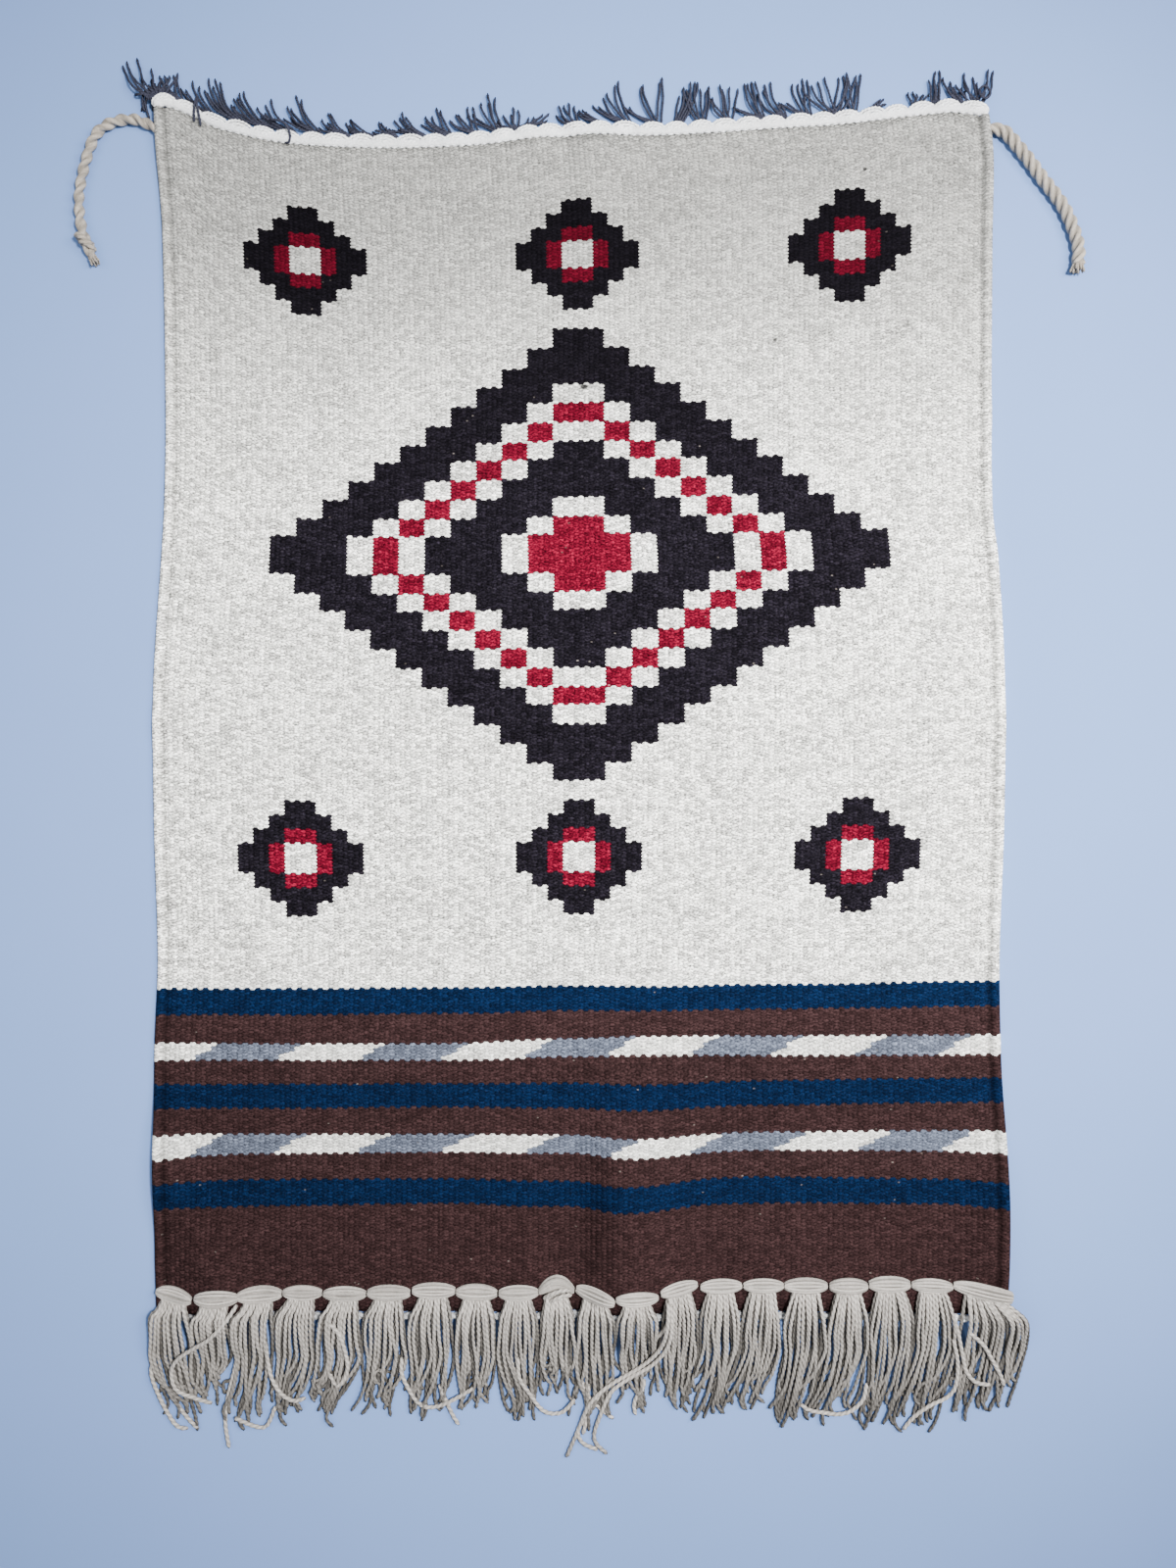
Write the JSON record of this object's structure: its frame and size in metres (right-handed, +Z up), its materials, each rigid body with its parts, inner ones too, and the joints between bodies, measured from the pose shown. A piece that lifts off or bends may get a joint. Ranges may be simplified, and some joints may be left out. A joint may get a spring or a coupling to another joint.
{
  "type": "woven wool rug",
  "caption": "Flat woven wool rug with a stepped diamond field, plain and slanted stripes, a row of knotted tassels, loose warp ends and twisted corner ropes.",
  "frame": {"origin": "on the floor, at the middle of the rug's footprint with its tassels and warp ends, the corner ropes left out", "axes": "+X across the rug to the right, +Y up the rug from the tassels to the warp ends, +Z up from the floor"},
  "size_m": [0.731, 1.0097, 0.0244],
  "materials": {
    "woven_wool": "matt weft-faced wool with stepped diamonds and stripes",
    "edge_cotton": "white twined cotton cord",
    "warp_yarn": "dark slate yarn ends",
    "tassel_yarn": "cream two-ply wool yarn",
    "rope_yarn": "cream twisted wool rope"
  },
  "bodies": {
    "root": {"rug_panel": "woven_wool", "top_edge_cord": "edge_cotton", "bottom_edge_cord": "edge_cotton", "warp_thrums_1": "warp_yarn", "warp_thrums_2": "warp_yarn", "warp_thrums_3": "warp_yarn", "warp_thrums_4": "warp_yarn", "tassel_01": "tassel_yarn", "tassel_02": "tassel_yarn", "tassel_03": "tassel_yarn", "tassel_04": "tassel_yarn", "tassel_05": "tassel_yarn", "tassel_06": "tassel_yarn", "tassel_07": "tassel_yarn", "tassel_08": "tassel_yarn", "tassel_09": "tassel_yarn", "tassel_10": "tassel_yarn", "tassel_11": "tassel_yarn", "tassel_12": "tassel_yarn", "tassel_13": "tassel_yarn", "tassel_14": "tassel_yarn", "tassel_15": "tassel_yarn", "tassel_16": "tassel_yarn", "tassel_17": "tassel_yarn", "tassel_18": "tassel_yarn", "tassel_19": "tassel_yarn", "tassel_20": "tassel_yarn", "corner_rope_left": "rope_yarn", "corner_rope_right": "rope_yarn"}
  },
  "joints": []
}
